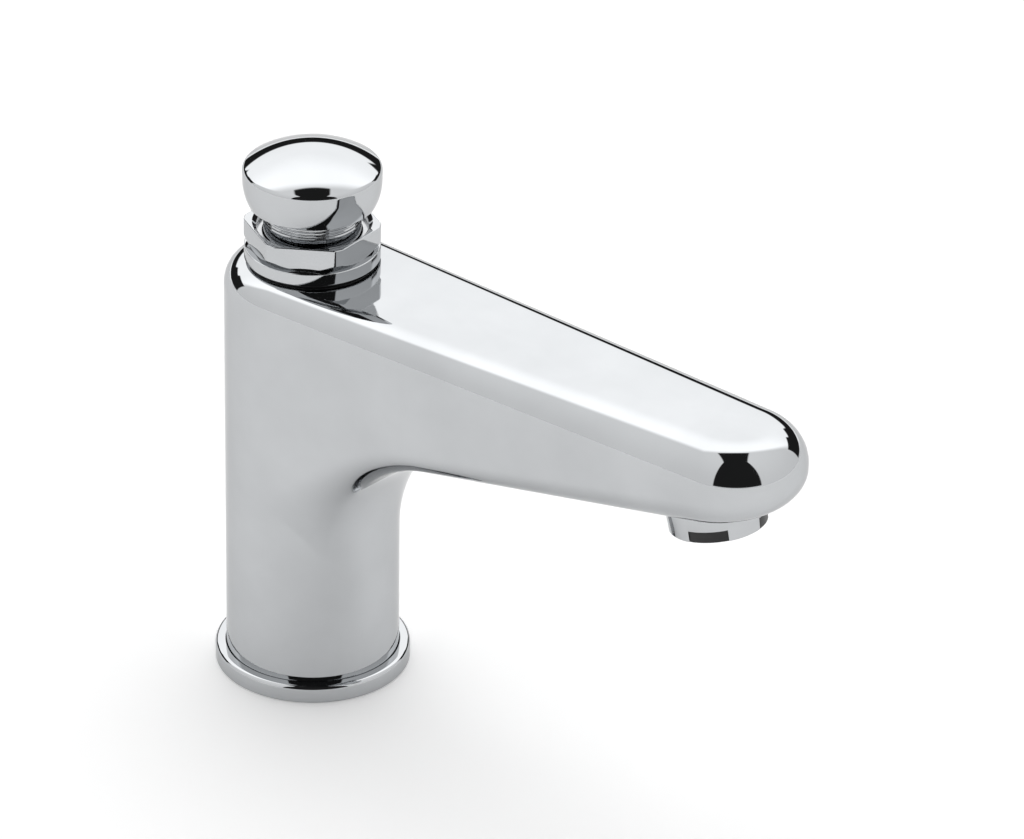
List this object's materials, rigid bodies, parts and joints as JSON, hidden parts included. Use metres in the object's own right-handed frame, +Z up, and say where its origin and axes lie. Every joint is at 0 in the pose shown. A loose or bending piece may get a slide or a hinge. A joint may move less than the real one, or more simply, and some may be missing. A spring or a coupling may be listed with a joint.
{
  "type": "push timed tap",
  "caption": "Deck-mounted push tap with a slow-closing valve: a round column, a tapering level-topped spout with an aerator, and a domed button over a hexagon collar.",
  "frame": {"origin": "centre of the inlet at the foot, on the deck plane", "axes": "+Z up along the column's axis, +X along the spout"},
  "size_m": [0.1812, 0.0518, 0.1513],
  "materials": {
    "chrome": "polished chrome plate on brass",
    "brass": "turned, bare",
    "rubber": "matte",
    "steel": "bright",
    "white_plastic": "moulded, satin",
    "black_plastic": "moulded, satin",
    "green_plastic": "moulded, satin"
  },
  "bodies": {
    "tap_body": {"body_casting": "chrome", "base_ring": "chrome", "base_gasket": "rubber", "base_plug": "brass", "plug_o_ring": "rubber", "inlet_strainer": "steel", "flow_regulator": "green_plastic", "valve_seat": "brass", "seat_o_ring": "rubber", "cartridge_cylinder": "brass", "cartridge_o_ring": "rubber", "cartridge_cap": "brass", "headwork_nut": "chrome", "headwork_seal": "rubber", "guide_bush": "white_plastic", "stem_wiper": "rubber", "circlip": "steel", "return_spring": "steel", "aerator_housing": "chrome", "aerator_washer": "rubber", "aerator_insert": "black_plastic", "aerator_screen": "steel"},
    "plunger": {"push_button": "chrome", "button_sleeve": "chrome", "stem_lock_nut": "brass", "spindle": "brass", "timing_piston": "white_plastic", "piston_lip_seal": "rubber", "piston_clip": "steel", "valve_disc_holder": "brass", "valve_washer": "rubber", "washer_nut": "brass"}
  },
  "joints": [
    {"name": "push", "type": "slide", "parent": "tap_body", "child": "plunger", "axis": [0, 0, -1], "range_m": [0, 0.005], "stiffness_N_per_m": 2500, "springref_m": -0.008, "deforming": ["return_spring"]}
  ]
}
